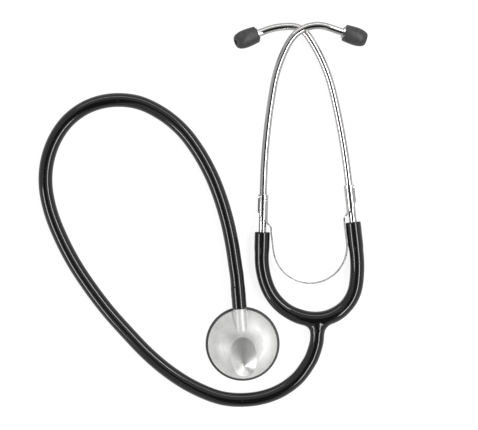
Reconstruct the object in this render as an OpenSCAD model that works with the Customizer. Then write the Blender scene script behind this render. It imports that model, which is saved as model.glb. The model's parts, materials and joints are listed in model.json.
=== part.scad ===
// Single-head stethoscope lying on a table, built as separate pieces.
// The origin is the centre of the diaphragm's outer face, +Z is up, and +Y runs towards the ear tips.
// Left and right name the arm of the Y that a piece sits on, seen from above.

/* [Head] */
// Outer diameter of the head, measured over the diaphragm ring
head_d = 45; // [41:0.5:50]
// Width of the ring that shows around the body
ring_w = 1.5; // [1.2:0.1:2]
// Height of the ring
ring_h = 2; // [1.6:0.1:2.2]
// Width of the lip that holds the diaphragm's edge
ring_lip = 2.8; // [2.4:0.1:3.4]
// Thickness of the diaphragm
diaphragm_t = 0.4; // [0.25:0.05:0.45]
// Height of the body's flat edge
flange_h = 6.5; // [6:0.1:7.5]
// Width of the flat edge outside the flare
flange_flat = 1.1; // [0.6:0.1:2]
// Radius of the concave flare between the edge and the hub
flare_r = 19.9; // [18:0.1:22]
// Height of the hub's crest
hub_h = 13.6; // [12:0.1:15]
// Opening angle of the conical finger scoop
scoop_angle = 119; // [112:1:126]
// Height of the scoop's lowest point
scoop_floor = 3.1; // [2.8:0.1:3.8]
// Width of the metal left between the scoop and the body's edge
scoop_edge = 1.7; // [1:0.1:3]
// Diameter of the small flat at the scoop's lowest point
scoop_tip_d = 0.6; // [0.4:0.1:2]
// Depth of the hollow behind the diaphragm
cavity_depth = 1.2; // [0.8:0.1:1.3]
// Width of the seat that the diaphragm's edge bears on
seat_w = 2.4; // [1.8:0.1:3]

/* [Stem] */
// Direction of the stem, turned left of straight ahead
stem_turn = 4.8; // [0:0.1:10]
// Height of the stem's axis above the body's flat edge
stem_rise = 0.2; // [0:0.1:0.5]
// Diameter of the boss that holds the stem
boss_d = 8.1; // [7.6:0.1:8.6]
// How far the boss stands out past the body's flat edge
boss_out = 0.3; // [0.2:0.1:1]
// Diameter of the stem
stem_d = 5; // [4.6:0.1:5.2]
// Diameter of the sound passage through stem and body
sound_d = 3.2; // [2.6:0.1:3.6]
// Length of the stem inside the boss
stem_in = 13; // [9:0.5:14]
// Length of the stem inside the tube
stem_out = 15; // [12:0.5:17]
// Height of the stem's barbs
barb_h = 0.25; // [0.15:0.05:0.3]

/* [Tubing] */
// Diameter of the lead tube
tube_d = 8.5; // [8:0.1:9]
// Diameter of the passage through the tubing
lumen_d = 4.4; // [3.8:0.1:4.6]
// Length of the straight end of the tube that grips the stem
tube_end_l = 18; // [17.5:0.5:22]
// Diameter of the Y and of the arms' open ends
arm_end_d = 9.2; // [8.8:0.1:9.8]
// Diameter of the Y's leg at the fork
leg_top_d = 9; // [8.7:0.1:9.1]
// Diameter of the arms where they bend
arm_d = 8.6; // [8.2:0.1:9]
// Length of the Y's single leg
leg_l = 12; // [11:0.5:15]
// Radius of the fillets between the leg and the arms
crotch_r = 5; // [3:0.5:6]
// Length of ear tube held inside each arm
ear_tube_in = 13; // [10:0.5:13.5]

/* [Left arm] */
// Radius of the bend beside the Y
left_bend_r = 31.7; // [28:0.1:36]
// Radius of the bend below the open end
left_upper_r = 48.2; // [42:0.1:56]
// Length of the straight open end
left_top = 14.1; // [13.6:0.1:18]

/* [Right arm] */
// Radius of the bend beside the Y
right_bend_r = 24.3; // [21:0.1:28]
// Radius of the bend below the open end
right_upper_r = 77; // [60:1:90]
// Length of the straight open end
right_top = 18.5; // [15:0.1:22]

/* [Ear tubes] */
// Outer diameter of the ear tubes
ear_tube_d = 4.5; // [4:0.1:4.8]
// Wall of the ear tubes
ear_tube_wall = 0.6; // [0.4:0.05:0.9]
// Gap between the two tubes where they cross
cross_gap = 0.3; // [0.2:0.05:1]
// Straight stretch of the left tube above its arm
left_straight = 27.5; // [25:0.5:34]
// Radius of the left tube's long sweep
left_sweep_r = 405; // [370:1:450]
// Radius of the left tube's shoulder
left_neck_r = 84; // [74:1:96]
// Radius of the left tube's upper bend
left_upper_bend_r = 37.7; // [33:0.1:43]
// Radius of the left tube's hook
left_hook_r = 19.5; // [17:0.1:22]
// Straight end of the left tube
left_end = 8.5; // [5:0.5:12]
// Straight stretch of the right tube above its arm
right_straight = 24.8; // [24:0.1:30]
// Radius of the right tube's long sweep
right_sweep_r = 446; // [410:1:490]
// Radius of the right tube's shoulder
right_neck_r = 103; // [92:1:116]
// Radius of the right tube's upper bend
right_upper_bend_r = 13.1; // [12:0.1:16]
// Radius of the right tube's hook
right_hook_r = 39.9; // [35:0.1:45]
// Straight end of the right tube
right_end = 0.8; // [0.6:0.2:6]
// Radius of the small bend that pitches each tip up or down
pitch_r = 9; // [7:0.5:12]

/* [Spring] */
// Width of the leaf spring
leaf_w = 6; // [4.5:0.5:7]
// Thickness of the leaf spring
leaf_t = 0.7; // [0.5:0.05:1]
// Depth of the leaf's U below its feet
leaf_depth = 34.4; // [31:0.1:36]
// Length of the clips rolled round the ear tubes
clip_l = 17.5; // [14:0.5:19]
// Wall of the clips
clip_wall = 0.85; // [0.6:0.05:1]
// Height of the clips above the arms
clip_lift = 5; // [4.5:0.5:6]
// Length of the clips' slanting cut
clip_slant = 7; // [4:0.5:9]

/* [Ear tips] */
// Greatest diameter of the ear tips
tip_d = 11; // [10.2:0.1:12]
// Diameter of the ear tips at their open end
tip_base_d = 10.1; // [9.3:0.1:10.9]
// Diameter of the ear tips' blunt nose
tip_nose_d = 5.8; // [5:0.1:7]
// Length of the ear tips
tip_l = 14; // [13:0.1:16]
// Length of the ear tips' rounded part
tip_nose_l = 6.8; // [5:0.1:8]
// Diameter of the sound hole in the ear tips
tip_hole_d = 3.2; // [2.4:0.1:3.8]
// Length of the ferrule inside the tip
ferrule_l = 8; // [6:0.5:9]
// Wall of the ferrule
ferrule_wall = 0.6; // [0.5:0.05:0.8]
// Thickness of the ferrule's collar
collar_t = 1; // [0.6:0.1:1.6]

/* [Hidden] */
$fn = 64;

// Clearances: turning and sliding fits, faces that meet, and overcuts
fit = 0.05;
press = 0.02;
meet = 0.2;
eps = 0.01;

// Head
head_r = head_d / 2;
body_r = head_r - ring_w;
lip_r = head_r - ring_lip;
lip_t = 0.55;
rim_z = lip_t + fit;
seat_z = rim_z + diaphragm_t + fit;
edge_bevel = 0.3;
flare_c = body_r - flange_flat;
scoop_slope = 1 / tan(scoop_angle / 2);
scoop_at = body_r - scoop_edge - (flange_h - scoop_floor) / scoop_slope;
stem_z = flange_h + stem_rise;
boss_to = body_r + boss_out;
stem_from = body_r - stem_in;
tube_from = boss_to + meet;
tube_to = tube_from + tube_end_l;
socket_d = stem_d + 2 * barb_h + 2 * fit;

// Headings of the straight and bent stretches, in degrees from +X
leg_heading = 86.4;
right_heading = 2.7;
left_heading = right_heading + 180;
left_root_turn = 20;
left_bend_turn = 51.6;
left_upper_turn = 22.5;
right_root_turn = 26;
right_bend_turn = 53;
right_upper_turn = 14.7;
left_bends = [8.7, 16.5, 9.3, 72];
right_bends = [7.1, 20.7, 53.6, 25.4];
left_pitch = -8;
right_pitch = 15;

// Heights: the Y and its arms lie on the table, and the lead tube too
arm_z = arm_end_d / 2 + fit;
tube_z = tube_d / 2;

// Route of the lead tube, chosen by hand from the head round to the Y
route = [[-4.5, 48], [-6.5, 61], [-9.5, 75], [-14, 90], [-19.5, 103.5],
         [-27, 117], [-36.5, 129.5], [-48.5, 139.5], [-63, 146.5], [-78.5, 148],
         [-93, 144.5], [-105, 136.5], [-113.5, 125], [-118.5, 111], [-119.5, 96],
         [-116.5, 80.5], [-110.5, 65], [-102.5, 49.5], [-93, 35], [-82, 20.5],
         [-70, 7], [-57, -6.5], [-43, -18], [-28, -27], [-11.5, -33],
         [5.5, -33.5], [20.5, -29.5], [32.5, -21.5], [40, -11.7], [43.3, -4.5]];
tube_end = tube_to * [-sin(stem_turn), cos(stem_turn)];
leg_end = [45.1, 3.2];
knots = concat([tube_end], route, [leg_end]);
last = len(knots) - 1;
head_fall = 4;
leg_rise = 2;
rings_per_span = 2;
cord_sides = 12;

// Bent runs: each stretch is [size, turn]. A turn of 0 is straight and size is its length,
// otherwise size is the bend's radius. Side is 1 for left-hand turns and -1 for right-hand ones.
function heading(run, side, h, n) = n <= 0 ? h : heading(run, side, h, n - 1) + side * run[n - 1][1];
function along(h) = [cos(h), sin(h)];
function across(h) = [-sin(h), cos(h)];
function stretch(s, side, h) =
    s[1] == 0 ? s[0] * along(h) : side * s[0] * (across(h) - across(h + side * s[1]));
function place(run, side, h, n) =
    n <= 0 ? [0, 0] : place(run, side, h, n - 1) + stretch(run[n - 1], side, heading(run, side, h, n - 1));

// The runs of each limb, from the middle of the Y outwards
fork = leg_end + leg_l * along(leg_heading);
root_l = [[left_bend_r, left_root_turn]];
root_r = [[right_bend_r, right_root_turn]];
bends_l = [[left_bend_r, left_bend_turn], [left_upper_r, left_upper_turn]];
bends_r = [[right_bend_r, right_bend_turn], [right_upper_r, right_upper_turn]];
arm_l = concat(root_l, bends_l, [[left_top, 0]]);
arm_r = concat(root_r, bends_r, [[right_top, 0]]);
tube_l = [[left_straight, 0], [left_sweep_r, left_bends[0]], [left_neck_r, left_bends[1]],
          [left_upper_bend_r, left_bends[2]], [left_hook_r, left_bends[3]]];
tube_r = [[right_straight, 0], [right_sweep_r, right_bends[0]], [right_neck_r, right_bends[1]],
          [right_upper_bend_r, right_bends[2]], [right_hook_r, right_bends[3]]];
limb_l = concat(arm_l, tube_l);
limb_r = concat(arm_r, tube_r);
root_n = len(root_l);
arm_n = len(arm_l);
limb_n = len(limb_l);

// The left limb is tilted about its root, so that its tube passes over the right one
cross_l = place(limb_l, -1, left_heading, limb_n - 1);
cross_reach = abs(cross_l * across(left_heading));
tilt = asin((ear_tube_d + cross_gap) / cross_reach);

// Sets children on a limb's plane, with the middle of the Y as the origin
module limb(side) {
    translate([fork[0], fork[1], arm_z])
        rotate(a = side < 0 ? -tilt : 0, v = [cos(left_heading), sin(left_heading), 0])
            children();
}

// Sets children at stretch n of a limb, with +X along it and +Y towards the inner side
module on_limb(side, n, back = 0) {
    run = side < 0 ? limb_l : limb_r;
    h0 = side < 0 ? left_heading : right_heading;
    h = heading(run, side, h0, n);
    p = place(run, side, h0, n) - back * along(h);
    limb(side) translate([p[0], p[1], 0]) rotate([0, 0, h]) scale_y(side) children();
}

// Mirrors children across the XZ plane on the left limb
module scale_y(side) {
    if (side < 0) mirror([0, 1, 0]) children();
    else children();
}

// A round bar or tube along +X
module bar(length, d, hole = 0) {
    rotate([0, 90, 0]) difference() {
        cylinder(h = length, d = d);
        if (hole > 0) translate([0, 0, -eps]) cylinder(h = length + 2 * eps, d = hole);
    }
}

// A bent bar or tube that starts at the origin along +X and turns towards +Y
module bend(radius, turn, d, hole = 0) {
    translate([0, radius, 0]) rotate([0, 0, -90]) rotate_extrude(angle = turn) translate([radius, 0])
        difference() {
            circle(d = d);
            if (hole > 0) circle(d = hole);
        }
}

// A short ring a hair larger than the bar, which joins two stretches that meet at the origin
module seam(d, hole = 0) {
    swell = 0.02;
    translate([-0.1, 0, 0]) bar(0.2, d + swell, hole > 0 ? hole - swell : 0);
}

// The stretches of a run as one bar or tube, from the origin along +X
module run_bar(run, d, hole = 0) {
    for (i = [0 : len(run) - 1]) {
        p = place(run, 1, 0, i);
        translate([p[0], p[1], 0]) rotate([0, 0, heading(run, 1, 0, i)]) {
            if (run[i][1] == 0) bar(run[i][0], d, hole);
            else bend(run[i][0], run[i][1], d, hole);
            if (i > 0) seam(d, hole);
        }
    }
}

// Sets children along the stem's axis, with +X away from the head
module on_stem() {
    translate([0, 0, stem_z]) rotate([0, 0, 90 + stem_turn]) children();
}

// Head

module chestpiece_body() {
    color([0.78, 0.78, 0.78]) difference() {
        union() {
            rotate_extrude() difference() {
                polygon([[0, seat_z + cavity_depth], [body_r - seat_w, seat_z], [body_r, seat_z],
                         [body_r, flange_h - edge_bevel], [body_r - edge_bevel, flange_h],
                         [flare_c, flange_h], [flare_c, hub_h], [0, hub_h]]);
                translate([flare_c, flange_h + flare_r]) circle(r = flare_r, $fn = 128);
            }
            on_stem() translate([sound_d, 0, 0]) bar(boss_to - sound_d, boss_d);
        }
        rotate([0, 0, stem_turn]) translate([0, -scoop_at, scoop_floor])
            cylinder(h = hub_h, d1 = scoop_tip_d, d2 = scoop_tip_d + 2 * hub_h / scoop_slope);
        translate([0, 0, seat_z]) cylinder(h = stem_z - seat_z, d = sound_d - 0.4);
        on_stem() translate([-sound_d / 2, 0, 0]) bar(stem_from + sound_d, sound_d);
        on_stem() translate([stem_from, 0, 0]) bar(body_r, stem_d + 2 * press);
    }
}

module chestpiece_stem() {
    barb_l = 3;
    barb_r = stem_d / 2 + barb_h;
    first_barb = stem_out - 2 * barb_l - 3;
    color([0.72, 0.72, 0.74]) on_stem() translate([stem_from, 0, 0]) rotate([0, 90, 0])
        rotate_extrude() polygon([[sound_d / 2, 0], [stem_d / 2, 0],
            [stem_d / 2, stem_in + first_barb], [barb_r, stem_in + first_barb],
            [stem_d / 2, stem_in + first_barb + barb_l],
            [stem_d / 2, stem_in + first_barb + barb_l + 1.5],
            [barb_r, stem_in + first_barb + barb_l + 1.5],
            [stem_d / 2 - barb_h, stem_in + stem_out], [sound_d / 2, stem_in + stem_out]]);
}

module diaphragm() {
    face_r = lip_r - 0.3;
    edge_r = body_r - 0.1;
    color([0.85, 0.85, 0.82]) rotate_extrude()
        polygon([[0, 0], [face_r, 0], [face_r, rim_z], [edge_r, rim_z], [edge_r, rim_z + diaphragm_t],
                 [face_r - diaphragm_t, rim_z + diaphragm_t], [face_r - diaphragm_t, diaphragm_t],
                 [0, diaphragm_t]]);
}

module diaphragm_ring() {
    color([0.36, 0.36, 0.36]) rotate_extrude()
        polygon([[lip_r, 0], [head_r - edge_bevel, 0], [head_r, edge_bevel],
                 [head_r, ring_h - edge_bevel], [head_r - edge_bevel, ring_h],
                 [body_r + fit, ring_h], [body_r + fit, lip_t], [lip_r, lip_t]]);
}

// Tubing

module tube_head_end() {
    grip = stem_out + 1;
    color([0.1, 0.1, 0.1]) on_stem() translate([tube_from, 0, 0]) difference() {
        bar(tube_end_l, tube_d);
        translate([-eps, 0, 0]) bar(grip, socket_d);
        bar(tube_end_l + eps, lumen_d);
    }
}

// The lead tube's height falls from the stem to the table and rises again to the Y
function fade(t) = t >= 1 ? 0 : 1 - t * t * (3 - 2 * t);
function lie(i) = tube_z + (stem_z - tube_z) * fade(i / head_fall)
    + (arm_z - tube_z) * fade((last - i) / leg_rise);
function knot(i) =
    i < 0 ? knot(1) - 2 * norm(knots[1] - knots[0]) * [-sin(stem_turn), cos(stem_turn), 0]
    : i > last ? knot(last - 1) + 2 * norm(knots[last] - knots[last - 1]) * [cos(leg_heading), sin(leg_heading), 0]
    : [knots[i][0], knots[i][1], lie(i)];
// A smooth curve through the knots, at step t of the span after knot i
function spot(i, t) = let (a = knot(i - 1), b = knot(i), c = knot(i + 1), d = knot(i + 2))
    b + (c - a) * t / 2 + (2 * a - 5 * b + 4 * c - d) * t * t / 2 + (3 * b - 3 * c + d - a) * t * t * t / 2;
function slope(i, t) = let (a = knot(i - 1), b = knot(i), c = knot(i + 1), d = knot(i + 2))
    (c - a) / 2 + (2 * a - 5 * b + 4 * c - d) * t + (3 * b - 3 * c + d - a) * t * t * 3 / 2;
function unit(v) = v / norm(v);

module lead_tube() {
    steps = last * rings_per_span;
    rings = [for (k = [0 : steps])
        let (i = min(floor(k / rings_per_span), last - 1), t = k / rings_per_span - i,
             c = spot(i, t), f = unit(slope(i, t)), s = unit(cross(f, [0, 0, 1])), u = cross(s, f))
        [for (j = [0 : cord_sides - 1])
            c + tube_d / 2 * (cos(j * 360 / cord_sides) * s + sin(j * 360 / cord_sides) * u)]];
    points = [for (ring = rings, p = ring) p];
    sides = [for (k = [0 : steps - 1], j = [0 : cord_sides - 1])
        let (a = k * cord_sides + j, b = k * cord_sides + (j + 1) % cord_sides)
        each [[a, b, b + cord_sides], [a, b + cord_sides, a + cord_sides]]];
    caps = [[for (j = [cord_sides - 1 : -1 : 0]) j],
            [for (j = [0 : cord_sides - 1]) steps * cord_sides + j]];
    color([0.1, 0.1, 0.1]) polyhedron(points, concat(sides, caps));
}

// The roots of both arms, as one bar through the middle of the Y
module yoke_bar(d) {
    on_limb(-1, 0) run_bar(root_l, d);
    on_limb(1, 0) run_bar(root_r, d);
    on_limb(1, 0) seam(d);
}

// Sets children on the Y's leg, with +X towards the fork
module on_leg() {
    translate([leg_end[0], leg_end[1], arm_z]) rotate([0, 0, leg_heading]) children();
}

module yoke() {
    web_t = arm_end_d * 0.6;
    leg_r = leg_top_d / 2;
    reach = leg_r + crotch_r - 0.05;
    low = leg_l - arm_end_d / 2 - crotch_r;
    color([0.1, 0.1, 0.1]) difference() {
        union() {
            yoke_bar(arm_end_d);
            on_leg() rotate([0, 90, 0]) cylinder(h = leg_l, d1 = tube_d, d2 = leg_top_d);
            on_leg() translate([0, 0, -web_t / 2]) linear_extrude(web_t) difference() {
                polygon([[low, 0], [low, leg_r - 0.3], [leg_l - leg_r + 1, reach], [leg_l, reach],
                         [leg_l, -reach], [leg_l - leg_r + 1, -reach], [low, 0.3 - leg_r]]);
                for (side = [-1, 1])
                    translate([low, side * reach]) circle(r = crotch_r);
            }
        }
        yoke_bar(lumen_d);
        on_leg() translate([-eps, 0, 0]) bar(leg_l, lumen_d - 0.4);
    }
}

module arm(side) {
    run = side < 0 ? bends_l : bends_r;
    top = side < 0 ? left_top : right_top;
    color([0.1, 0.1, 0.1]) {
        on_limb(side, root_n) run_bar(run, arm_d, lumen_d);
        on_limb(side, arm_n - 1) {
            seam(arm_d, lumen_d);
            difference() {
                bar(top, arm_end_d);
                translate([-eps, 0, 0]) bar(top, lumen_d);
                translate([top - ear_tube_in - meet, 0, 0]) bar(top, ear_tube_d + 2 * fit);
            }
        }
    }
}

// Ear tubes

// Sets children at the start of a limb's pitched end, with +Y up
module on_pitch(side) {
    pitch = side < 0 ? left_pitch : right_pitch;
    on_limb(side, limb_n) rotate([pitch < 0 ? -90 : 90, 0, 0]) children();
}

// Sets children on the axis of a limb's ear tip, with +X out of the tube and the origin at the collar
module on_tip(side) {
    pitch = abs(side < 0 ? left_pitch : right_pitch);
    straight = side < 0 ? left_end : right_end;
    p = place([[pitch_r, pitch], [straight, 0]], 1, 0, 2);
    on_pitch(side) translate([p[0], p[1], 0]) rotate([0, 0, pitch]) children();
}

module ear_tube(side) {
    run = side < 0 ? tube_l : tube_r;
    first = [run[0][0] + ear_tube_in, 0];
    rest = [for (i = [1 : len(run) - 1]) run[i]];
    pitch = abs(side < 0 ? left_pitch : right_pitch);
    straight = side < 0 ? left_end : right_end;
    bore = ear_tube_d - 2 * ear_tube_wall;
    color([0.8, 0.8, 0.82]) {
        on_limb(side, arm_n, ear_tube_in) run_bar(concat([first], rest), ear_tube_d, bore);
        on_pitch(side) seam(ear_tube_d, bore);
        on_pitch(side) run_bar([[pitch_r, pitch], [straight + ferrule_l - 1, 0]], ear_tube_d, bore);
    }
}

// Spring

clip_r = ear_tube_d / 2 + fit + clip_wall;
foot_x = 0.8;
foot_gap = 0.3;
foot_y = arm_end_d / 2 + foot_gap + leaf_t;

module spring_clip(side) {
    color([0.76, 0.76, 0.78]) on_limb(side, arm_n) {
        difference() {
            translate([clip_lift, 0, 0]) bar(clip_l, 2 * clip_r);
            bar(clip_lift + clip_l + eps, ear_tube_d + 2 * fit);
            translate([clip_lift, clip_r, -clip_r]) rotate([0, 0, -90 - atan(clip_slant / (2 * clip_r))])
                translate([0, -2 * clip_r, 0]) cube([4 * clip_r, 2 * clip_r, 2 * clip_r]);
        }
        translate([0, 0, -leaf_w / 2]) linear_extrude(leaf_w)
            polygon([[foot_x, foot_y], [foot_x + 2, foot_y], [clip_lift + 2, clip_r],
                     [clip_lift + clip_slant, clip_r - eps], [clip_lift + clip_slant, clip_r - clip_wall + eps],
                     [clip_lift + 2, clip_r - clip_wall + eps], [foot_x + 2, foot_y - leaf_t],
                     [foot_x, foot_y - leaf_t]]);
    }
}

// Centre of a leaf foot on its own limb, in the whole frame
function limb_spot(side, p) = let (a = side < 0 ? tilt : 0, n = along(left_heading), m = across(left_heading))
    side < 0 ? [fork[0], fork[1], arm_z] + [(p * n) * n[0] + (p * m) * cos(a) * m[0],
                                            (p * n) * n[1] + (p * m) * cos(a) * m[1], -(p * m) * sin(a)]
             : [fork[0] + p[0], fork[1] + p[1], arm_z];
function foot(side) = let (run = side < 0 ? limb_l : limb_r, h0 = side < 0 ? left_heading : right_heading,
                           h = heading(run, side, h0, arm_n))
    limb_spot(side, place(run, side, h0, arm_n) + (foot_x - meet) * along(h)
                    + side * (foot_y - leaf_t / 2) * across(h));

// One straight leg of the leaf at x, down to height low, and a little way into the round part
module leg(x, low) {
    half = leaf_t / 2 + eps;
    translate([x - half, low - 0.3]) square([2 * half, 0.3 - low]);
}

module leaf_spring() {
    a = foot(-1);
    b = foot(1);
    span = norm(b - a);
    r = span / 2;
    mid = [r, r - leaf_depth];
    color([0.7, 0.7, 0.72]) translate(a) rotate([0, 0, atan2(b[1] - a[1], b[0] - a[0])])
        rotate([0, asin((a[2] - b[2]) / span), 0]) translate([0, 0, -leaf_w / 2]) linear_extrude(leaf_w) {
            difference() {
                translate(mid) circle(r = r + leaf_t / 2, $fn = 180);
                translate(mid) circle(r = r - leaf_t / 2, $fn = 180);
                translate(mid - [2 * r, 0]) square([4 * r, 2 * r]);
            }
            leg(0, mid[1]);
            leg(span, mid[1]);
        }
}

// Ear tips

module tip_ferrule(side) {
    inner = ear_tube_d / 2 + press;
    outer = inner + ferrule_wall;
    color([0.8, 0.8, 0.8]) on_tip(side) rotate([0, 90, 0]) rotate_extrude()
        polygon([[inner, 0], [outer + 0.6, 0], [outer + 0.6, collar_t], [outer, collar_t],
                 [outer, ferrule_l - 3], [outer + 0.3, ferrule_l - 3], [outer, ferrule_l], [inner, ferrule_l]]);
}

module ear_tip(side) {
    socket = ear_tube_d / 2 + press + ferrule_wall + 0.3 + fit;
    base_r = tip_base_d / 2;
    nose_r = tip_nose_d / 2;
    bulge = tip_d / 2 - nose_r;
    color([0.37, 0.36, 0.37]) on_tip(side) translate([collar_t + fit, 0, 0]) rotate([0, 90, 0])
        rotate_extrude() difference() {
            polygon(concat([[0, 0], [base_r - 0.3, 0], [base_r, 0.4], [tip_d / 2, tip_l - tip_nose_l]],
                [for (a = [15 : 15 : 90])
                    [nose_r + bulge * cos(a), tip_l - tip_nose_l + tip_nose_l * sin(a)]],
                [[0, tip_l]]));
            square([socket, ferrule_l - collar_t + 0.5]);
            square([tip_hole_d / 2, tip_l + eps]);
        }
}

chestpiece_body();
chestpiece_stem();
diaphragm();
diaphragm_ring();
tube_head_end();
lead_tube();
yoke();
arm(-1);  // arm_left
arm(1);  // arm_right
ear_tube(-1);  // ear_tube_left
ear_tube(1);  // ear_tube_right
spring_clip(-1);  // spring_clip_left
spring_clip(1);  // spring_clip_right
leaf_spring();
tip_ferrule(-1);  // tip_ferrule_left
tip_ferrule(1);  // tip_ferrule_right
ear_tip(-1);  // ear_tip_left
ear_tip(1);  // ear_tip_right
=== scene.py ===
"""Looks of a single-head stethoscope, laid flat on a white table.

The script is laid out as an add-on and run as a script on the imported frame. The head with its stem,
ring and diaphragm, the ear tubes and the ferrules are the frame's own nodes with new materials. The
tubing, the leaf spring, the clips and the ear tips are new surfaces that stand where the frame's
nodes stand.
"""

import json

import bpy
import numpy as np
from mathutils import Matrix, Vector

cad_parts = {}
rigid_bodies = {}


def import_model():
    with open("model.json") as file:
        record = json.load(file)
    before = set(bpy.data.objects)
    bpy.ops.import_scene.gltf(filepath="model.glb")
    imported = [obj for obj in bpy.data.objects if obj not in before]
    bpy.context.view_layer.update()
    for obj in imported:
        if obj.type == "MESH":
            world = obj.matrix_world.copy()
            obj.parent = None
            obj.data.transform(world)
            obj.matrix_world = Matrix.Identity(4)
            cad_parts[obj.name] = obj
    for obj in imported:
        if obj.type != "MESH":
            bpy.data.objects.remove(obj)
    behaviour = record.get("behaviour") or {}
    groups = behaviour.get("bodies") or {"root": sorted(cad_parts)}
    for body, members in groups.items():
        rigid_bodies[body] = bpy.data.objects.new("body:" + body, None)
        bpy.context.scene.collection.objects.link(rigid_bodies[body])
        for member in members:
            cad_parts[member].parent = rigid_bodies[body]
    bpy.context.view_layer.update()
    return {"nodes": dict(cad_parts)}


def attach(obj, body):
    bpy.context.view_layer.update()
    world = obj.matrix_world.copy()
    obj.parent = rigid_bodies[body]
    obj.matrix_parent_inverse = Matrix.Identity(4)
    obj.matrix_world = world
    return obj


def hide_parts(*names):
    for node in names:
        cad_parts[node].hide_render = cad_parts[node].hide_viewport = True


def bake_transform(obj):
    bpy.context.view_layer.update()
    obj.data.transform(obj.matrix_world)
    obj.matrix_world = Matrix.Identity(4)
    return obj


for start_up_object in list(bpy.data.objects):
    bpy.data.objects.remove(start_up_object, do_unlink=True)
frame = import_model()

bl_info = {
    "name": "Stethoscope looks",
    "version": (1, 0, 0),
    "blender": (4, 5, 0),
    "location": "View3D > Sidebar > Stethoscope",
    "description": "Tubing, spring, clips, ear tips, finishes and stage of a single-head stethoscope",
    "category": "Object",
}

MM = 0.001
UP = np.array([0.0, 0.0, 1.0])
SIDE_NAMES = {-1: "left", 1: "right"}
SHARP_ANGLE = 40.0

# Sizes of the tubing in millimetres, as in the part's source
STEM_TURN = 4.8
STEM_Z = 6.7
TUBE_D = 8.5
TUBE_FROM = 21.5
TUBE_END_L = 18.0
ARM_END_D = 9.2
ARM_D = 8.6
ARM_Z = 4.65
LEG_END = np.array([45.1, 3.2])
LEG_L = 12.0
LEG_TOP_D = 9.0
LEG_HEADING = 86.4
CROTCH_R = 5.0
RIGHT_HEADING = 2.7
LEFT_HEADING = 182.7
EAR_TUBE_D = 4.5
CROSS_GAP = 0.3

# How far the Y's web may stand out past its plain tubes, and how far the leg's form goes on below its end
MOULD_REACH = 5.5
LEG_OVERRUN = 4.0

# Mouth of the tube on the stem, and its swellings over the stem and over the stem's barbs
MOUTH_D = 5.6
MOUTH_DEPTH = 2.0
STEM_SWELL = 0.16
BARB_SWELL = 0.07
BARBS_AT = (8.5, 12.5)
BARB_L = 1.2

# An arm's thickening at its root and at its open end, its bend and its rounded mouth
ROOT_FADE = 9.0
CUFF_FADE = 5.0
CUFF_ROUND = 0.6
CUFF_PLAY = 0.12
CUFF_DEPTH = 4.0

# Finger scoop of the head: a cone that stops short of the body's edge, and how near to the cone's
# height a point has to be to take its finish
BODY_R = 21.0
FLANGE_H = 6.5
SCOOP_EDGE = 1.7
SCOOP_ANGLE = 119.0
SCOOP_FLOOR = 3.1
SCOOP_TIP_D = 0.6
SCOOP_MATCH = 0.08
SCOOP_SLOPE = 1.0 / np.tan(np.radians(SCOOP_ANGLE / 2))
SCOOP_AT = BODY_R - SCOOP_EDGE - (FLANGE_H - SCOOP_FLOOR) / SCOOP_SLOPE

# Stretches of each limb from the middle of the Y outwards, as sizes and turns in degrees: a turn of 0 is
# straight and its size is a length, otherwise its size is the bend's radius. A limb is its root, its
# arm and its ear tube.
LEFT_ROOT = [(31.7, 20.0)]
LEFT_ARM = [(31.7, 51.6), (48.2, 22.5), (14.1, 0.0)]
LEFT_TUBE = [(27.5, 0.0), (405.0, 8.7), (84.0, 16.5), (37.7, 9.3), (19.5, 72.0)]
RIGHT_ROOT = [(24.3, 26.0)]
RIGHT_ARM = [(24.3, 53.0), (77.0, 14.7), (18.5, 0.0)]
RIGHT_TUBE = [(24.8, 0.0), (446.0, 7.1), (103.0, 20.7), (13.1, 53.6), (39.9, 25.4)]

# Small bend that pitches each tip up or down, and the straight tail of each ear tube past it
PITCH_R = 9.0
PITCH = {-1: -8.0, 1: 15.0}
TUBE_TAIL = {-1: 8.5, 1: 0.8}

# Leaf spring and its feet
LEAF_W = 6.0
LEAF_T = 0.7
LEAF_DEPTH = 34.4
FOOT_X = 0.8
FOOT_GAP = 0.3
MEET = 0.2

# Spring clips
CLIP_L = 17.5
CLIP_LIFT = 5.0
CLIP_WALL = 0.85
CLIP_SLANT = 7.0
CLIP_FIT = 0.05
CLIP_ROLL_FROM = 2.4
CLIP_ROLL_L = 4.6

# Seam of a clip in radians from the far side of its tube: its two edges, the lower edge's turn towards
# the top past the slant, and the notch at its upper end. The turn and the notch have lengths in millimetres.
SEAM_HIGH = 0.62
SEAM_LOW = 0.1
SEAM_TURN = 0.52
SEAM_TURN_L = 1.2
SEAM_NOTCH = 0.34
SEAM_NOTCH_L = 2.6

# Ear tips
TIP_D = 11.0
TIP_BASE_D = 10.1
TIP_NOSE_D = 5.8
TIP_L = 14.0
TIP_NOSE_L = 6.8
TIP_HOLE_D = 3.2
TIP_HOLE_DEPTH = 5.0
TIP_START = 1.05
TIP_MARK_AT = 5.7
TIP_MARK_DEPTH = 0.06
TIP_MARK_L = 0.25
SOCKET_D = 6.2
SOCKET_DEPTH = 5.0

# Route of the lead tube in metres, chosen from the head round to the Y
ROUTE = np.array([
    (-0.0045, 0.048), (-0.0065, 0.061), (-0.0095, 0.075), (-0.014, 0.090), (-0.0195, 0.1035),
    (-0.027, 0.117), (-0.0365, 0.1295), (-0.0485, 0.1395), (-0.063, 0.1465), (-0.0785, 0.148),
    (-0.093, 0.1445), (-0.105, 0.1365), (-0.1135, 0.125), (-0.1185, 0.111), (-0.1195, 0.096),
    (-0.1165, 0.0805), (-0.1105, 0.065), (-0.1025, 0.0495), (-0.093, 0.035), (-0.082, 0.0205),
    (-0.070, 0.007), (-0.057, -0.0065), (-0.043, -0.018), (-0.028, -0.027), (-0.0115, -0.033),
    (0.0055, -0.0335), (0.0205, -0.0295), (0.0325, -0.0215), (0.040, -0.0117), (0.0433, -0.0045),
])
HEAD_FALL = 4
LEG_RISE = 2

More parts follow.
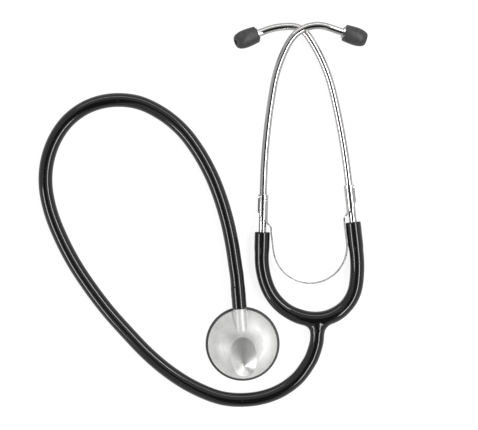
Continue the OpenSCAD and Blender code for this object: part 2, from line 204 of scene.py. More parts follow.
# Share of a noise's range that holds most of its values
NOISE_LOW = 0.35
NOISE_HIGH = 0.65


# Geometry: most surfaces are rings of points joined round and along, and a clip is a sheet between two grids


def along(heading):
    """Unit vectors in the plane that point at the headings, in degrees from +X."""
    angle = np.radians(heading)
    return np.stack([np.cos(angle), np.sin(angle)], -1)


def across(heading):
    """Unit vectors in the plane a quarter turn left of the headings."""
    return along(np.asarray(heading) + 90.0)


def unit(vectors):
    """The vectors divided by their lengths."""
    return vectors / np.linalg.norm(vectors, axis=-1, keepdims=True)


def ease(t):
    """Zero below 0, one above 1, and three t squared less two t cubed in between."""
    t = np.clip(t, 0.0, 1.0)
    return t * t * (3.0 - 2.0 * t)


def lengths(run):
    """Length of each stretch: its size where it is straight, else radius times turn."""
    return np.array([size if turn == 0 else size * np.radians(turn) for size, turn in run])


def run_at(run, side, heading, s):
    """Places and headings at distances s along a run of straight and bent stretches.

    A straight stretch adds distance times its direction. A bend adds its radius times the difference
    of the left-hand normals at its start and at the point. Past the last stretch the run goes on as it was.
    """
    sizes = lengths(run)
    starts = np.concatenate([[0.0], np.cumsum(sizes)])
    turns = np.array([turn for _, turn in run])
    headings = heading + side * np.concatenate([[0.0], np.cumsum(turns)])
    radii = np.array([np.inf if turn == 0 else size for size, turn in run])
    places = [np.zeros(2)]
    for size, radius, h0, h1 in zip(sizes, radii, headings[:-1], headings[1:]):
        step = size * along(h0) if np.isinf(radius) else side * radius * (across(h0) - across(h1))
        places.append(places[-1] + step)
    k = np.clip(np.searchsorted(starts, s, side="right") - 1, 0, len(run) - 1)
    t = s - starts[k]
    h = headings[k] + side * np.degrees(t / radii[k])
    bent = np.where(np.isinf(radii[k]), 0.0, radii[k])[:, None]
    flat = np.isinf(radii[k])[:, None]
    step = np.where(flat, t[:, None] * along(headings[k]), side * bent * (across(headings[k]) - across(h)))
    return np.array(places)[k] + step, h


def turned(vectors, axis, angle):
    """The vectors turned by the angle in degrees about a unit axis through the origin."""
    a = np.radians(angle)
    along_axis = (vectors @ axis)[..., None] * axis
    return vectors * np.cos(a) + np.cross(axis, vectors) * np.sin(a) + along_axis * (1.0 - np.cos(a))


FORK = np.array([*(LEG_END + LEG_L * along(LEG_HEADING)), ARM_Z])
RUNS = {-1: LEFT_ROOT + LEFT_ARM + LEFT_TUBE, 1: RIGHT_ROOT + RIGHT_ARM + RIGHT_TUBE}
HEADINGS = {-1: LEFT_HEADING, 1: RIGHT_HEADING}
ROOT_L = {-1: lengths(LEFT_ROOT).sum(), 1: lengths(RIGHT_ROOT).sum()}
ARM_L = {-1: lengths(LEFT_ROOT + LEFT_ARM).sum(), 1: lengths(RIGHT_ROOT + RIGHT_ARM).sum()}
LIMB_L = {side: lengths(RUNS[side]).sum() for side in (-1, 1)}
LEFT_AXIS = np.array([*along(LEFT_HEADING), 0.0])


def left_tilt():
    """The tilt that lifts the left tube over the right one where the two cross."""
    before_hook = np.array([LIMB_L[-1] - lengths(LEFT_TUBE)[-1]])
    place, _ = run_at(RUNS[-1], -1, LEFT_HEADING, before_hook)
    reach = abs(place[0] @ across(LEFT_HEADING))
    return np.degrees(np.arcsin((EAR_TUBE_D + CROSS_GAP) / reach))


TILT = left_tilt()


def limb_at(side, s):
    """Centres, directions, sides and ups at distances s along a limb, in millimetres.

    The limb is its run laid in the plane of the Y. The left one is then tilted about its root.
    """
    place, heading = run_at(RUNS[side], side, HEADINGS[side], np.asarray(s, float))
    level = np.zeros(len(heading))
    centre = np.column_stack([place, level])
    forward = np.column_stack([along(heading), level])
    left = np.column_stack([across(heading), level])
    up = np.tile(UP, (len(heading), 1))
    if side < 0:
        centre, forward, left, up = [turned(v, LEFT_AXIS, -TILT) for v in (centre, forward, left, up)]
    return centre + FORK, forward, left, up


def rings_round(centre, left, up, radius, sides):
    """Rings of points: centre plus radius times cosine of the angle to the left and sine of it up.

    The radius is one number, one for each ring, or one for each point of each ring.
    """
    angle = np.linspace(0.0, 2.0 * np.pi, sides, endpoint=False)
    radius = np.asarray(radius) if np.ndim(radius) == 2 else np.reshape(radius, (-1, 1))
    spread = np.cos(angle)[None, :, None] * left[:, None] + np.sin(angle)[None, :, None] * up[:, None]
    return centre[:, None] + radius[..., None] * spread


def placed(name, mesh, body):
    """The mesh as a smooth-shaded piece in the scene, sharp at its edges, on its body if it has one."""
    mesh.polygons.foreach_set("use_smooth", np.ones(len(mesh.polygons), bool))
    mesh.set_sharp_from_angle(angle=np.radians(SHARP_ANGLE))
    piece = bpy.data.objects.new(name, mesh)
    bpy.context.scene.collection.objects.link(piece)
    if body:
        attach(piece, body)
    return piece


def skin(name, rings, body=None):
    """A smooth mesh through the rings, in millimetres, with its ends closed by fans to their middles.

    A piece that blends between two bodies is made without a body.
    """
    count, sides, _ = rings.shape
    points = np.vstack([rings.reshape(-1, 3), rings[0].mean(0), rings[-1].mean(0)])
    i = np.arange(count - 1)[:, None]
    j = np.arange(sides)[None]
    j_next = (j + 1) % sides
    corners = [i * sides + j, i * sides + j_next, (i + 1) * sides + j_next, (i + 1) * sides + j]
    faces = np.stack(np.broadcast_arrays(*corners), -1).reshape(-1, 4).tolist()
    first = np.stack([np.full(sides, count * sides), j_next[0], j[0]], -1)
    low = (count - 1) * sides
    last = np.stack([np.full(sides, count * sides + 1), low + j[0], low + j_next[0]], -1)
    faces += first.tolist() + last.tolist()
    mesh = bpy.data.meshes.new(name)
    mesh.from_pydata((points * MM).tolist(), [], faces)
    return placed(name, mesh, body)


def plate(name, top, bottom, flip, body):
    """A sheet between two grids of points, in millimetres, closed along its four edges."""
    rows, columns, _ = top.shape
    points = np.vstack([top.reshape(-1, 3), bottom.reshape(-1, 3)])
    index = np.arange(2 * rows * columns).reshape(2, rows, columns)
    a, b = index
    quads = [np.stack([a[:-1, :-1], a[:-1, 1:], a[1:, 1:], a[1:, :-1]], -1),
             np.stack([b[:-1, :-1], b[1:, :-1], b[1:, 1:], b[:-1, 1:]], -1),
             np.stack([a[0, :-1], b[0, :-1], b[0, 1:], a[0, 1:]], -1),
             np.stack([a[-1, :-1], a[-1, 1:], b[-1, 1:], b[-1, :-1]], -1),
             np.stack([a[:-1, 0], a[1:, 0], b[1:, 0], b[:-1, 0]], -1),
             np.stack([a[:-1, -1], b[:-1, -1], b[1:, -1], a[1:, -1]], -1)]
    faces = np.vstack([quad.reshape(-1, 4) for quad in quads])
    faces = faces[:, ::-1] if flip else faces
    mesh = bpy.data.meshes.new(name)
    mesh.from_pydata((points * MM).tolist(), [], faces.tolist())
    return placed(name, mesh, body)


def turned_shape(start, axis, stations, sides):
    """Rings of a turned shape: station (x, r) stands x along the axis from start, r out from it."""
    x, r = np.array(stations, float).T
    centre = start + x[:, None] * axis
    left = np.tile(unit(np.cross(UP, axis)), (len(x), 1))
    high = np.tile(np.cross(axis, left[0]), (len(x), 1))
    return rings_round(centre, left, high, r, sides)


# Lead tube


def lead_knots():
    """Knots of the lead tube in millimetres, from the stem's tube end to the Y's leg.

    Its height falls from the stem to the table and rises again to the Y, eased over a few knots.
    """
    stem = across(STEM_TURN)
    tube_end = (TUBE_FROM + TUBE_END_L) * stem
    flat = np.vstack([tube_end, ROUTE / MM, LEG_END])
    i = np.arange(len(flat))
    table = TUBE_D / 2
    height = table + (STEM_Z - table) * (1.0 - ease(i / HEAD_FALL))
    height += (ARM_Z - table) * (1.0 - ease((len(flat) - 1 - i) / LEG_RISE))
    knots = np.column_stack([flat, height])
    before = knots[1] - 2.0 * np.linalg.norm(flat[1] - flat[0]) * np.array([*stem, 0.0])
    after = knots[-2] + 2.0 * np.linalg.norm(flat[-1] - flat[-2]) * np.array([*along(LEG_HEADING), 0.0])
    return np.vstack([before, knots, after])


def lead_line(per_span):
    """Points and directions of the smooth curve through the knots, a cubic with matched slopes."""
    knots = lead_knots()
    spans = len(knots) - 3
    u = np.linspace(0.0, spans, spans * per_span + 1)
    i = np.minimum(u.astype(int), spans - 1)
    t = (u - i)[:, None]
    a, b, c, d = knots[i], knots[i + 1], knots[i + 2], knots[i + 3]
    curve = b + (c - a) * t / 2 + (2 * a - 5 * b + 4 * c - d) * t**2 / 2 + (3 * b - 3 * c + d - a) * t**3 / 2
    slope = (c - a) / 2 + (2 * a - 5 * b + 4 * c - d) * t + (3 * b - 3 * c + d - a) * t**2 * 1.5
    return curve, unit(slope)


def make_lead_tube(sides):
    """The free tube: rings round the smooth curve through the route."""
    centre, forward = lead_line(8)
    left = unit(np.cross(UP, forward))
    up = np.cross(forward, left)
    piece = skin("lead_tube_skin", rings_round(centre, left, up, TUBE_D / 2, sides), "tubing")
    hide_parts("lead_tube")
    return piece


def make_tube_end(sides):
    """The tube's end on the stem: a plain tube with a soft rim that swells a little over the barbs."""
    stem = np.array([*across(STEM_TURN), 0.0])
    start = STEM_Z * UP + TUBE_FROM * stem
    r, bore = TUBE_D / 2, MOUTH_D / 2
    x = np.linspace(0.5, TUBE_END_L, 60)
    swell = STEM_SWELL * (1.0 - ease((x - TUBE_END_L / 2) / (TUBE_END_L / 2 - 0.5)))
    for barb in BARBS_AT:
        swell += BARB_SWELL * np.exp(-((x - barb) / BARB_L) ** 2)
    inside = [(MOUTH_DEPTH, 0.0), (MOUTH_DEPTH, bore), (0.15, bore), (0.0, bore + 0.15)]
    rim = [(0.0, r - 0.45), (0.12, r - 0.18)]
    rings = turned_shape(start, stem, inside + rim + list(zip(x, r + swell)), sides)
    piece = skin("tube_head_end_skin", rings, "tubing")
    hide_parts("tube_head_end")
    return piece


# The Y


def bar_line(count):
    """Centre line of the Y's cross bar, from the left root's end to the right root's end."""
    left = limb_at(-1, np.linspace(ROOT_L[-1], 0.0, count))
    right = limb_at(1, np.linspace(0.0, ROOT_L[1], count)[1:])
    centre = np.vstack([left[0], right[0]])
    forward = np.vstack([-left[1], right[1]])
    side = np.vstack([-left[2], right[2]])
    return centre, forward, side


def near_bar(points):
    """Distance from points to the cross bar's surface: to the closest spot of its line, less its radius."""
    line, _, _ = bar_line(60)
    flat = points.reshape(-1, 3)
    nearest = np.sqrt(((flat[:, None] - line[None]) ** 2).sum(-1)).min(1)
    return nearest.reshape(points.shape[:-1]) - ARM_END_D / 2


def near_leg(points):
    """Distance from points to the leg's surface, which widens evenly from the lead tube to the bar."""
    axis = np.array([*along(LEG_HEADING), 0.0])
    start = np.array([*LEG_END, ARM_Z])
    x = np.clip((points - start) @ axis, -LEG_OVERRUN, LEG_L - ARM_END_D / 2)
    gap = np.linalg.norm(points - start - x[..., None] * axis, axis=-1)
    return gap - (TUBE_D + (LEG_TOP_D - TUBE_D) * np.clip(x / LEG_L, 0.0, 1.0)) / 2


def joined(points):
    """Bar and leg as one smooth form: the lesser distance, less a web where the two are close.

    The web is full in the plane of the Y and fades to nothing over its top and bottom.
    """
    bar, leg = near_bar(points), near_leg(points)
    near = np.maximum(CROTCH_R - np.abs(bar - leg), 0.0) / CROTCH_R
    web = np.maximum(1.0 - ((points[..., 2] - ARM_Z) / (ARM_END_D / 2)) ** 2, 0.0)
    return np.minimum(bar, leg) - near * near * CROTCH_R / 4 * web


def moulded_radius(centre, left, up, plain, inset, sides):
    """Radius round each centre at which the joined form ends, found by halving from the plain one up."""
    low = np.tile(np.asarray(plain)[:, None], (1, sides)) - 0.05
    high = low + MOULD_REACH
    for _ in range(16):
        middle = (low + high) / 2
        inside = joined(rings_round(centre, left, up, middle, sides)) + inset < 0
        low = np.where(inside, middle, low)
        high = np.where(inside, high, middle)
    return (low + high) / 2


def make_yoke(sides):
    """The Y's middle: its cross bar and its leg, each a tube whose radius follows the joined form."""
    centre, forward, left = bar_line(40)
    high = unit(np.cross(forward, left))
    bar_r = moulded_radius(centre, left, high, np.full(len(centre), ARM_END_D / 2), 0.0, sides)
    bar_r[[0, -1]] = ARM_END_D / 2
    bar = skin("yoke_bar_skin", rings_round(centre, left, high, bar_r, sides), "tubing")
    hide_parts("yoke")

    axis = np.array([*along(LEG_HEADING), 0.0])
    x = np.linspace(0.0, LEG_L - 0.5, 50)
    middle = np.array([*LEG_END, ARM_Z]) + x[:, None] * axis
    side = np.tile([*across(LEG_HEADING), 0.0], (len(x), 1))
    up = np.tile(UP, (len(x), 1))
    plain = (TUBE_D + (LEG_TOP_D - TUBE_D) * x / LEG_L) / 2
    leg_r = moulded_radius(middle, side, up, plain, 0.03, sides)
    leg_r[0] = TUBE_D / 2
    leg = skin("yoke_leg_skin", rings_round(middle, side, up, leg_r, sides), "tubing")
    return bar, leg


# Arms


def make_arm(side, sides):
    """A flexible arm: rings along the limb, thinner in the bend, wider and rounded at its open end."""
    start, end = ROOT_L[side], ARM_L[side]
    top = (LEFT_ARM if side < 0 else RIGHT_ARM)[-1][0]
    thin, wide = ARM_D / 2, ARM_END_D / 2
    s = np.linspace(start, end - CUFF_ROUND, 130)
    r = thin + (wide - thin) * (1.0 - ease((s - start) / ROOT_FADE) + ease((s - end + top) / CUFF_FADE))
    turn = np.radians(np.linspace(15.0, 90.0, 6))
    bore = EAR_TUBE_D / 2 + CUFF_PLAY
    s = np.concatenate([s, end - CUFF_ROUND * (1.0 - np.sin(turn)), [end, end - 0.2, end - CUFF_DEPTH]])
    r = np.concatenate([r, wide - CUFF_ROUND * (1.0 - np.cos(turn)), [bore + 0.2, bore, bore]])
    centre, _, left, up = limb_at(side, s)
    word = SIDE_NAMES[side]
    piece = skin(f"arm_{word}_skin", rings_round(centre, left, up, r, sides))
    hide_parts(f"arm_{word}")
    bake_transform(piece)
    return piece


# Leaf spring


def leaf_foot(side):
    """Middle of the leaf's foot: beside the arm's open end, on its inner side."""
    centre, forward, left, _ = limb_at(side, np.array([ARM_L[side]]))
    beside = ARM_END_D / 2 + FOOT_GAP + LEAF_T / 2
    return (centre + (FOOT_X - MEET) * forward + side * beside * left)[0]


def make_leaf_half(side, per_side):
    """Half of the leaf: a flat strip from a foot down its leg and round a quarter circle to the middle."""
    a, b = leaf_foot(-1), leaf_foot(1)
    span = np.linalg.norm(b - a)
    x_axis = (b - a) / span
    flat = unit(np.array([-x_axis[1], x_axis[0], 0.0]))
    up = np.cross(x_axis, flat)
    r = span / 2
    leg = LEAF_DEPTH - r
    turn = np.radians(np.linspace(0.0, 90.0, per_side))
    x = np.concatenate([[0.0, 0.0], r * (1.0 - np.cos(turn))])
    y = np.concatenate([[0.0, -leg / 2], -leg - r * np.sin(turn)])
    out = np.concatenate([[0.0, 0.0], turn])
    x = x if side < 0 else span - x
    centre = a + x[:, None] * x_axis + y[:, None] * flat
    inner = -side * np.cos(out)[:, None] * x_axis + np.sin(out)[:, None] * flat
    h, w, bevel = LEAF_T / 2, LEAF_W / 2, 0.15
    section = np.array([(h, -w + bevel), (h, w - bevel), (h - bevel, w), (bevel - h, w),
                        (-h, w - bevel), (-h, bevel - w), (bevel - h, -w), (h - bevel, -w)])
    section = section if side > 0 else section[::-1]
    rings = centre[:, None] + section[None, :, :1] * inner[:, None] + section[None, :, 1:] * up
    word = SIDE_NAMES[side]
    piece = skin(f"leaf_{word}_half", rings)
    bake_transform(piece)
    return piece


# Spring clips


def make_clip(side, count, per_ring):
    """A clip: sheet rolled round the ear tube that flattens into a tongue down to the leaf's foot.

    At a distance x along the tube the sheet's section is an arc of curvature k. Its points lie
    offset - (1 - cos ks) / k to the inner side and sin ks / k up, for s between its two edges.
    The lower edge is cut on a slant, and the seam stays a little open and turned towards the top.
    """
    mid = EAR_TUBE_D / 2 + CLIP_FIT + CLIP_WALL / 2
    foot = ARM_END_D / 2 + FOOT_GAP + LEAF_T / 2
    x = FOOT_X + (CLIP_LIFT + CLIP_L - FOOT_X) * np.linspace(0.0, 1.0, count)
    rolled = ease((x - CLIP_ROLL_FROM) / CLIP_ROLL_L)
    curl = np.maximum(rolled, 1e-3) / mid
    offset = foot + (mid - foot) * rolled
    cut = np.arccos(np.clip(1.0 - 2.0 * (x - CLIP_LIFT) / CLIP_SLANT, -1.0, 1.0))
    past = ease((x - CLIP_LIFT - CLIP_SLANT + SEAM_TURN_L / 2) / SEAM_TURN_L)
    notch = SEAM_NOTCH * ease((x - CLIP_LIFT - CLIP_L + SEAM_NOTCH_L) / SEAM_NOTCH_L)
    high = np.minimum(cut, np.pi - SEAM_HIGH - notch)
    low = np.minimum(cut, np.pi - SEAM_LOW) + SEAM_TURN * past - notch
    least = LEAF_W / 2 / mid
    s = mid * np.linspace(-np.maximum(low, least), np.maximum(high, least), per_ring, axis=1)
    wall = (LEAF_T + (CLIP_WALL - LEAF_T) * rolled)[:, None]
    turn = curl[:, None] * s
    inward = offset[:, None] - (1.0 - np.cos(turn)) / curl[:, None]
    rise = np.sin(turn) / curl[:, None]
    centre, _, left, up = limb_at(side, ARM_L[side] + x)
    inner = side * left
    faces = [(inward + half * wall * np.cos(turn))[..., None] * inner[:, None]
             + (rise + half * wall * np.sin(turn))[..., None] * up[:, None] for half in (0.5, -0.5)]
    outside, inside = [centre[:, None] + face for face in faces]
    word = SIDE_NAMES[side]
    piece = plate(f"spring_clip_{word}_skin", outside, inside, side < 0, f"binaural_{word}")
    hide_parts(f"spring_clip_{word}")
    return piece


# Ear tips


def tip_line(side):
    """Start and direction of a limb's ear tip, past the small bend that pitches the tube up or down."""
    centre, forward, _, up = [v[0] for v in limb_at(side, np.array([LIMB_L[side] - 1e-6]))]
    a = np.radians(abs(PITCH[side]))
    rise = np.sign(PITCH[side]) * up
    direction = np.cos(a) * forward + np.sin(a) * rise
    bend = PITCH_R * (np.sin(a) * forward + (1.0 - np.cos(a)) * rise)
    return centre + bend + (TUBE_TAIL[side] + TIP_START) * direction, direction


def make_ear_tip(side, sides):
    """A soft tip: a barrel that swells evenly, an oval nose, a sound hole and a socket for the ferrule."""
    start, axis = tip_line(side)
    base, r, nose, hole, socket = TIP_BASE_D / 2, TIP_D / 2, TIP_NOSE_D / 2, TIP_HOLE_D / 2, SOCKET_D / 2
    reach = TIP_L - TIP_NOSE_L
    x = np.linspace(0.6, reach, 40)
    swell = base + (r - base) * np.sin(np.pi / 2 * x / reach)
    mark = TIP_MARK_DEPTH * np.exp(-((x - TIP_MARK_AT) / TIP_MARK_L) ** 2)
    turn = np.radians(np.linspace(0.0, 90.0, 24))[1:]
    stations = [(SOCKET_DEPTH, 0.0), (SOCKET_DEPTH, socket), (0.2, socket), (0.0, socket + 0.2)]
    stations += [(0.0, base - 0.4), (0.08, base - 0.18), (0.28, base - 0.03)]
    stations += list(zip(x, swell - mark))
    stations += list(zip(reach + TIP_NOSE_L * np.sin(turn), nose + (r - nose) * np.cos(turn)))
    stations += [(TIP_L - 0.03, hole + 0.35), (TIP_L - 0.15, hole + 0.1)]
    stations += [(TIP_L - 0.4, hole), (TIP_L - TIP_HOLE_DEPTH, hole)]
    rings = turned_shape(start, axis, stations, sides)
    word = SIDE_NAMES[side]
    piece = skin(f"ear_tip_{word}_skin", rings, f"tip_{word}")
    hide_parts(f"ear_tip_{word}")
    return piece


# Materials


def finish_material(name, colour, metallic, roughness):
    """A new node material with its plain values on the shader's own sockets."""
    material = bpy.data.materials.new(name)
    material.use_nodes = True
    shader = material.node_tree.nodes["Principled BSDF"]
    shader.inputs["Base Color"].default_value = (*colour, 1.0)
    shader.inputs["Metallic"].default_value = metallic
    shader.inputs["Roughness"].default_value = roughness
    return material, shader


def add_node(material, kind, **settings):
    """A node of a kind with its settings and its sockets' values."""
    node = material.node_tree.nodes.new(kind)
    for key, value in settings.items():
        if hasattr(node, key):
            setattr(node, key, value)
        else:
            node.inputs[key.replace("_", " ").title()].default_value = value
    return node


def join(material, source, out, target, into):
    """A link from one node's output to another's input."""
    material.node_tree.links.new(source.outputs[out], target.inputs[into])


def object_noise(material, scale, detail=3.0, roughness=0.5):
    """Noise on Object coordinates."""
    spot = add_node(material, "ShaderNodeTexCoord")
    noise = add_node(material, "ShaderNodeTexNoise", scale=scale, detail=detail, roughness=roughness)
    join(material, spot, "Object", noise, "Vector")
    return noise


def vary(material, shader, noise, socket, low, high):
    """Drives a socket between two values by a noise."""
    spread = add_node(material, "ShaderNodeMapRange")
    spread.inputs["From Min"].default_value = NOISE_LOW
    spread.inputs["From Max"].default_value = NOISE_HIGH
    spread.inputs["To Min"].default_value = low
    spread.inputs["To Max"].default_value = high
    join(material, noise, "Fac", spread, "Value")
    join(material, spread, "Result", shader, socket)
    return spread


def tint(material, shader, noise, low, high, from_low=NOISE_LOW, from_high=NOISE_HIGH):
    """Drives the base colour between two colours by a noise."""
    ramp = add_node(material, "ShaderNodeValToRGB")
    ramp.color_ramp.elements[0].position = from_low
    ramp.color_ramp.elements[1].position = from_high
    ramp.color_ramp.elements[0].color = (*low, 1.0)
    ramp.color_ramp.elements[1].color = (*high, 1.0)
    join(material, noise, "Fac", ramp, "Fac")
    join(material, ramp, "Color", shader, "Base Color")


def grain(material, shader, noise, strength, distance):
    """A bump from a noise."""
    bump = add_node(material, "ShaderNodeBump")
    bump.inputs["Strength"].default_value = strength
    bump.inputs["Distance"].default_value = distance
    join(material, noise, "Fac", bump, "Height")
    join(material, bump, "Normal", shader, "Normal")


def tubing_vinyl(colour, roughness):
    """Black glossy vinyl: faint orange peel, a few dull patches and pale dust specks."""
    material, shader = finish_material("tubing vinyl", colour, 0.0, roughness)
    shader.inputs["IOR"].default_value = 1.4
    shader.inputs["Coat Weight"].default_value = 1.0
    shader.inputs["Coat Roughness"].default_value = 0.07
    dull = object_noise(material, 60.0)
    vary(material, shader, dull, "Roughness", roughness * 0.8, roughness * 1.4)
    specks = object_noise(material, 900.0, detail=1.0)
    tint(material, shader, specks, colour, (0.06, 0.055, 0.055), 0.74, 0.8)
    peel = object_noise(material, 350.0, detail=2.0)
    grain(material, shader, peel, 0.12, 0.0002)
    return material


def turned_aluminium(colour, roughness, scoop_roughness):
    """Satin aluminium turned about Z: fine rings in the bump and the roughness, and faint cloudiness.

    The finger scoop is cut smoother: there the height over the table is the cone's height, which is
    its floor plus the distance from its axis times its slope.
    """
    material, shader = finish_material("turned aluminium", colour, 1.0, roughness)
    spot = add_node(material, "ShaderNodeTexCoord")
    parts = add_node(material, "ShaderNodeSeparateXYZ")
    join(material, spot, "Object", parts, "Vector")
    flat = add_node(material, "ShaderNodeCombineXYZ")
    join(material, parts, "X", flat, "X")
    join(material, parts, "Y", flat, "Y")
    radius = add_node(material, "ShaderNodeVectorMath", operation="LENGTH")
    join(material, flat, "Vector", radius, 0)
    rings = add_node(material, "ShaderNodeTexNoise", noise_dimensions="1D", scale=2500.0, detail=4.0)
    join(material, radius, "Value", rings, "W")
    dull = vary(material, shader, rings, "Roughness", roughness * 0.8, roughness * 1.25)
    out = add_node(material, "ShaderNodeVectorMath", operation="DISTANCE")
    turn = np.radians(STEM_TURN)
    out.inputs[1].default_value = (SCOOP_AT * MM * np.sin(turn), -SCOOP_AT * MM * np.cos(turn), 0.0)
    join(material, flat, "Vector", out, 0)
    cone = add_node(material, "ShaderNodeMath", operation="MULTIPLY_ADD")
    cone.inputs[1].default_value = SCOOP_SLOPE
    cone.inputs[2].default_value = (SCOOP_FLOOR - SCOOP_TIP_D / 2 * SCOOP_SLOPE) * MM
    join(material, out, "Value", cone, 0)
    match = add_node(material, "ShaderNodeMath", operation="COMPARE")
    match.inputs[2].default_value = SCOOP_MATCH * MM
    join(material, cone, "Value", match, 0)
    join(material, parts, "Z", match, 1)
    choice = add_node(material, "ShaderNodeMapRange")
    choice.inputs["To Max"].default_value = scoop_roughness
    join(material, match, "Value", choice, "Value")
    join(material, dull, "Result", choice, "To Min")
    join(material, choice, "Result", shader, "Roughness")
    cloud = object_noise(material, 120.0, detail=4.0, roughness=0.6)
    tint(material, shader, cloud, tuple(c * 0.86 for c in colour), colour, 0.3, 0.55)
    grain(material, shader, rings, 0.25, 0.0001)
    return material


def polished_chrome(name, colour, roughness):
    """Chrome with faint wipe marks in its roughness."""
    material, shader = finish_material(name, colour, 1.0, roughness)
    wipe = object_noise(material, 220.0, detail=5.0)
    vary(material, shader, wipe, "Roughness", roughness * 0.6, roughness * 1.8)
    return material


def spring_strip(colour, roughness):
    """Rolled steel strip with fine lengthwise scratches."""
    material, shader = finish_material("spring strip", colour, 1.0, roughness)
    scratch = object_noise(material, 800.0, detail=4.0)
    vary(material, shader, scratch, "Roughness", roughness * 0.7, roughness * 1.5)
    grain(material, shader, scratch, 0.1, 0.00005)
    return material


def soft_tip(colour, roughness):
    """Dull soft rubber with a fine grain and a dusty bloom."""
    material, shader = finish_material("soft tip", colour, 0.0, roughness)
    shader.inputs["Sheen Weight"].default_value = 0.15
    bloom = object_noise(material, 500.0, detail=4.0)
    tint(material, shader, bloom, tuple(c * 0.8 for c in colour), tuple(min(1.0, c * 1.25) for c in colour))
    grain(material, shader, bloom, 0.3, 0.0002)
    return material


def ring_plastic(colour, roughness):
    """Satin dark grey plastic with a faint unevenness."""
    material, shader = finish_material("ring plastic", colour, 0.0, roughness)
    uneven = object_noise(material, 700.0)
    vary(material, shader, uneven, "Roughness", roughness * 0.85, roughness * 1.2)
    grain(material, shader, uneven, 0.15, 0.0001)
    return material


def diaphragm_film(colour, roughness):
    """Off-white stiff film with faint fibre mottling."""
    material, shader = finish_material("diaphragm film", colour, 0.0, roughness)
    fibre = object_noise(material, 900.0, detail=6.0, roughness=0.7)
    tint(material, shader, fibre, tuple(c * 0.93 for c in colour), colour)
    return material


def dress(objects, material):
    """Puts one material on all of an object's slots, for new pieces and for the frame's nodes."""
    for item in objects:
        item.data.materials.clear()
        item.data.materials.append(material)
        indices = np.zeros(len(item.data.polygons), np.int32)
        item.data.polygons.foreach_set("material_index", indices)


# Sizes and colours a user would change


class TubingLooks(bpy.types.PropertyGroup):
    """Settings of the tubing"""

    colour: bpy.props.FloatVectorProperty(
        name="Colour", description="Colour of the tubing", subtype="COLOR", size=3,
        default=(0.007, 0.0063, 0.0067), min=0.0, max=1.0)
    roughness: bpy.props.FloatProperty(
        name="Roughness", description="Dullness of the tubing", subtype="FACTOR",
        default=0.14, min=0.0, max=1.0)
    sides: bpy.props.IntProperty(
        name="Sides", description="Points round the tubing", default=48, min=16, max=96)


class MetalLooks(bpy.types.PropertyGroup):
    """Settings of the metal pieces"""

    head_colour: bpy.props.FloatVectorProperty(
        name="Head colour", description="Colour of the aluminium head", subtype="COLOR", size=3,
        default=(0.86, 0.86, 0.848), min=0.0, max=1.0)
    head_roughness: bpy.props.FloatProperty(
        name="Head roughness", description="Dullness of the head", subtype="FACTOR",
        default=0.6, min=0.0, max=1.0)
    chrome_colour: bpy.props.FloatVectorProperty(
        name="Chrome colour", description="Colour of the chromed pieces", subtype="COLOR", size=3,
        default=(0.82, 0.81, 0.805), min=0.0, max=1.0)
    chrome_roughness: bpy.props.FloatProperty(
        name="Chrome roughness", description="Dullness of the chrome", subtype="FACTOR",
        default=0.06, min=0.0, max=1.0)
    steel_colour: bpy.props.FloatVectorProperty(
        name="Steel colour", description="Colour of the leaf spring and the stem", subtype="COLOR", size=3,
        default=(0.72, 0.72, 0.72), min=0.0, max=1.0)


class SoftLooks(bpy.types.PropertyGroup):
    """Settings of the tips and the rim"""

    tip_colour: bpy.props.FloatVectorProperty(
        name="Ear tip colour", description="Colour of the ear tips", subtype="COLOR", size=3,
        default=(0.055, 0.052, 0.053), min=0.0, max=1.0)
    ring_colour: bpy.props.FloatVectorProperty(
        name="Ring colour", description="Colour of the ring round the head", subtype="COLOR", size=3,
        default=(0.09, 0.09, 0.088), min=0.0, max=1.0)
    diaphragm_colour: bpy.props.FloatVectorProperty(
        name="Diaphragm colour", description="Colour of the diaphragm", subtype="COLOR", size=3,
        default=(0.72, 0.72, 0.68), min=0.0, max=1.0)


class StageLooks(bpy.types.PropertyGroup):
    """Settings of the camera and the lamps"""

    camera_height: bpy.props.FloatProperty(
        name="Camera height", description="Height of the camera over the table", unit="LENGTH",
        default=1.2, min=0.5, max=3.0)
    view_width: bpy.props.FloatProperty(
        name="View width", description="Width of table that the picture shows", unit="LENGTH",
        default=0.2899, min=0.1, max=1.0)
    view_centre: bpy.props.FloatVectorProperty(
        name="View centre", description="Point of the table under the camera", unit="LENGTH", size=2,
        default=(-0.0022, 0.0783))
    strip_power: bpy.props.FloatProperty(
        name="Strip power", description="Power of each strip lamp beside the table in watts",
        default=9.0, min=0.0, max=50.0)
    sky: bpy.props.FloatProperty(
        name="Sky", description="Strength of the pale surroundings", default=0.4, min=0.0, max=2.0)


# Operators, one for each piece or group of like pieces and one for the stage


